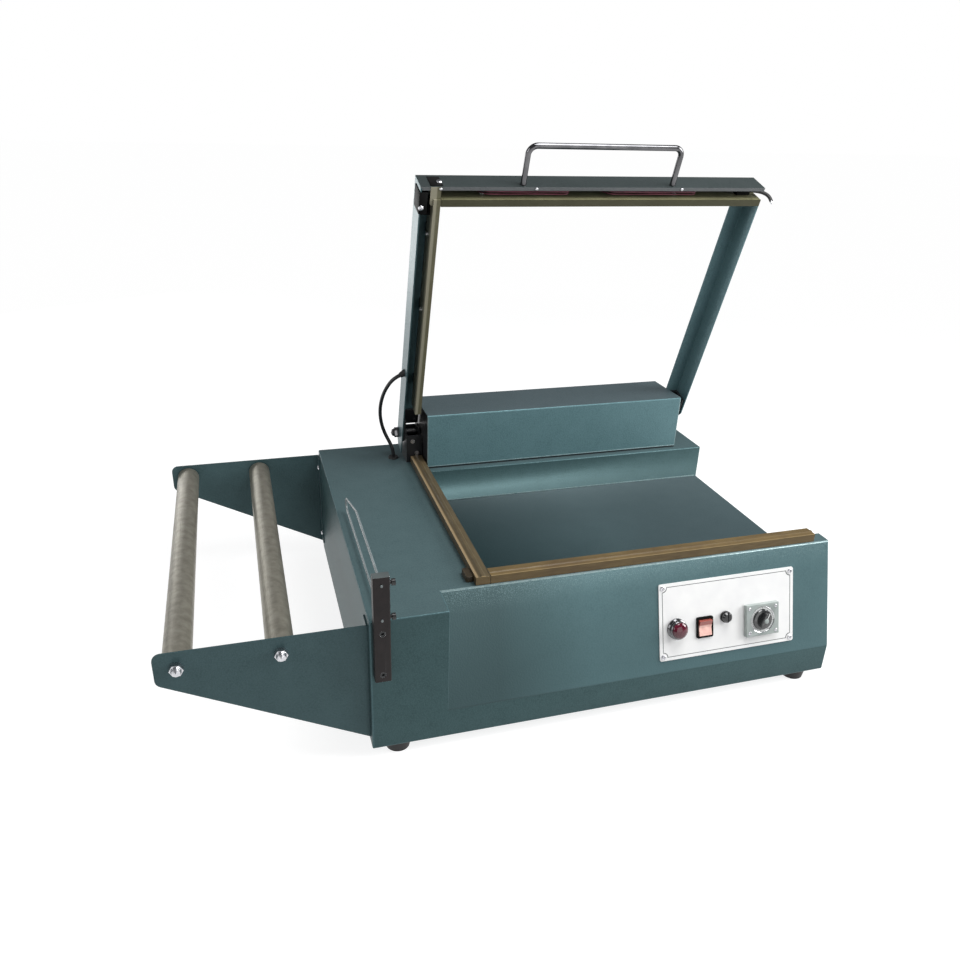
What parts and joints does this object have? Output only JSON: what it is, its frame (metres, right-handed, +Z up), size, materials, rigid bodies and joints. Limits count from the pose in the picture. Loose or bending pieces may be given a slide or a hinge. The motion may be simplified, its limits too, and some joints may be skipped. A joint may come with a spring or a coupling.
{
  "type": "l bar sealer",
  "caption": "Bench L bar sealer: hammertone cabinet with film tray, sprung swing-up sealing arm, control panel and side film-roll cradle.",
  "frame": {"origin": "centre of the footprint at floor level, under the feet; the footprint includes the film-roll stand", "axes": "+Z up, -Y towards the operator and the control panel, +X to the operator's right"},
  "size_m": [0.9144, 0.5666, 0.7193],
  "materials": {
    "hammer_paint": "hammertone blue-grey",
    "arm_paint": "hammertone blue-grey",
    "black_steel": "satin black",
    "plate_silver": "satin printed face",
    "rubber_black": "matte",
    "chromed": "polished",
    "zinc_screw": "bright zinc",
    "bare_steel": "machined",
    "roller_steel": "satin",
    "jaw_alloy": "mill",
    "tape_tan": "coated glass cloth",
    "silicone_strip": "smooth",
    "lamp_red": "tinted",
    "rocker_red": "gloss",
    "plastic_black": "moulded",
    "timer_grey": "moulded",
    "lead_red": "sleeve",
    "nichrome": "drawn",
    "copper_coil": "varnished winding",
    "core_iron": "laminated"
  },
  "bodies": {
    "cabinet": {"cabinet_shell": "hammer_paint", "base_plate": "hammer_paint", "rubber_feet": "rubber_black", "foot_screws": "zinc_screw", "control_plate": "plate_silver", "control_plate_screws": "zinc_screw", "lamp_bezel": "chromed", "lamp_lens": "lamp_red", "rocker_frame": "plastic_black", "fuse_body": "plastic_black", "timer_case": "timer_grey", "hinge_base_plate": "black_steel", "hinge_housing": "hammer_paint", "hinge_bracket_left": "black_steel", "hinge_bracket_right": "black_steel", "hinge_bracket_screws": "zinc_screw", "torsion_springs": "bare_steel", "lower_jaw_left": "jaw_alloy", "lower_jaw_front": "jaw_alloy", "silicone_strips": "silicone_strip", "lower_jaw_tapes": "tape_tan", "jaw_corner_block": "plastic_black", "roll_bracket_near": "hammer_paint", "roll_bracket_far": "hammer_paint", "roll_bracket_screws": "zinc_screw", "roller_axles": "bare_steel", "roller_axle_nuts": "zinc_screw", "guide_block": "plastic_black", "guide_block_screws": "black_steel", "transformer_core": "core_iron", "transformer_coil": "copper_coil", "cable_grommet": "rubber_black", "arm_cable": "rubber_black"},
    "arm": {"arm_left": "arm_paint", "arm_front": "arm_paint", "arm_right": "arm_paint", "arm_hinge_plate_left": "black_steel", "arm_hinge_plate_right": "black_steel", "hinge_shaft": "bare_steel", "hinge_shaft_nuts": "zinc_screw", "upper_jaw_left": "jaw_alloy", "upper_jaw_front": "jaw_alloy", "upper_jaw_tapes": "tape_tan", "heating_wires": "nichrome", "jaw_screws": "zinc_screw", "handle": "chromed", "handle_nuts": "zinc_screw", "heater_leads": "lead_red", "wire_terminals": "plastic_black", "arm_boot": "rubber_black"},
    "rocker_button": {"rocker": "rocker_red"},
    "fuse_cap_body": {"fuse_cap": "plastic_black"},
    "timer_dial": {"timer_knob": "plastic_black"},
    "roller_outer_body": {"roller_outer": "roller_steel"},
    "roller_inner_body": {"roller_inner": "roller_steel"},
    "film_guide": {"guide_loop": "chromed"},
    "thumb_upper": {"thumb_screw_upper": "plastic_black"},
    "thumb_lower": {"thumb_screw_lower": "plastic_black"}
  },
  "joints": [
    {"name": "arm_hinge", "type": "hinge", "parent": "cabinet", "child": "arm", "pos_m": [0.17625, 0.21075, 0.2519], "axis": [1, 0, 0], "range_deg": [0, 70.6], "stiffness_Nm_per_rad": 6.5, "springref_deg": -52.71, "deforming": ["arm_cable"]},
    {"name": "roller_outer_spin", "type": "hinge", "parent": "cabinet", "child": "roller_outer_body", "pos_m": [-0.43205, 0, 0.1765], "axis": [0, 1, 0], "continuous": true},
    {"name": "roller_inner_spin", "type": "hinge", "parent": "cabinet", "child": "roller_inner_body", "pos_m": [-0.31675, 0, 0.1765], "axis": [0, 1, 0], "continuous": true},
    {"name": "rocker_tilt", "type": "hinge", "parent": "cabinet", "child": "rocker_button", "pos_m": [0.25325, -0.2533, 0.11344], "axis": [1, 0, 0], "range_deg": [-12, 0]},
    {"name": "fuse_cap_turn", "type": "hinge", "parent": "cabinet", "child": "fuse_cap_body", "pos_m": [0.28625, -0.25136, 0.1233], "axis": [0, -0.9572, 0.2894], "range_deg": [0, 90]},
    {"name": "timer_turn", "type": "hinge", "parent": "cabinet", "child": "timer_dial", "pos_m": [0.34225, -0.25437, 0.11335], "axis": [0, -0.9572, 0.2894], "range_deg": [-300, 0]},
    {"name": "guide_slide", "type": "slide", "parent": "cabinet", "child": "film_guide", "axis": [0, 1, 0], "range_m": [-0.06, 0]},
    {"name": "thumb_upper_turn", "type": "hinge", "parent": "cabinet", "child": "thumb_upper", "pos_m": [-0.19075, -0.27575, 0.2635], "axis": [1, 0, 0], "range_deg": [-360, 0]},
    {"name": "thumb_lower_turn", "type": "hinge", "parent": "cabinet", "child": "thumb_lower", "pos_m": [-0.19075, -0.27575, 0.2165], "axis": [1, 0, 0], "range_deg": [-360, 0]}
  ]
}
